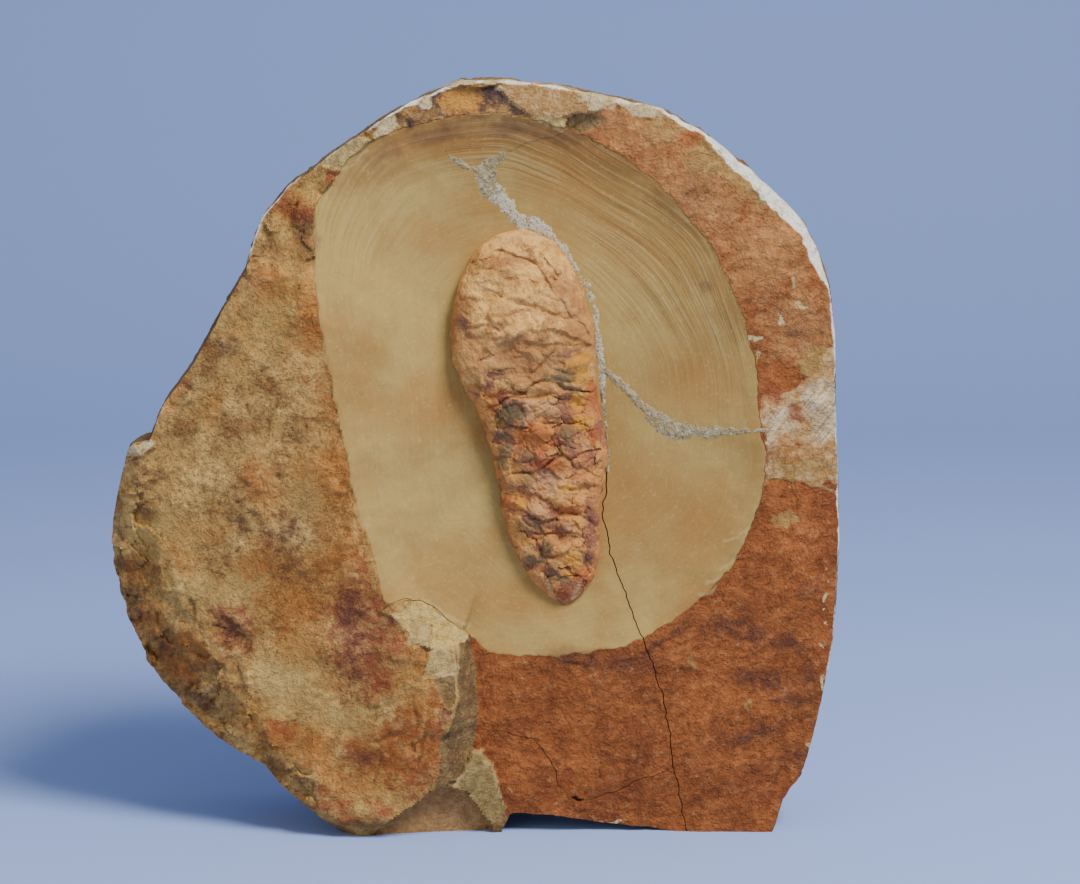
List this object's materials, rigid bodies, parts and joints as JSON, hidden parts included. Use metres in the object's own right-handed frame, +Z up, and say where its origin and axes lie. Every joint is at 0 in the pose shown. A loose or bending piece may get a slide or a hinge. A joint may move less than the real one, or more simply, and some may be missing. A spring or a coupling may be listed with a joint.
{
  "type": "fossil arthropod on rock slab",
  "caption": "Fossil arthropod standing up from a scraped recess in a broken, glued mudstone slab that rests upright on its lower edge.",
  "frame": {"origin": "on the ground plane, under the middle of the slab's width and depth", "axes": "+Z up through the standing slab, +X to the right seen from the prepared face, and the prepared face with the fossil looks along -Y"},
  "size_m": [0.1995, 0.0541, 0.206],
  "materials": {
    "mudstone": "matt iron-stained mudstone, split and scraped",
    "fossil": "matt crumpled mineral crust",
    "filler": "matt grey granular filler"
  },
  "bodies": {
    "root": {"slab_main": "mudstone", "slab_upper_right": "mudstone", "slab_lower_right": "mudstone", "arthropod": "fossil", "repair_filler": "filler"}
  },
  "joints": []
}
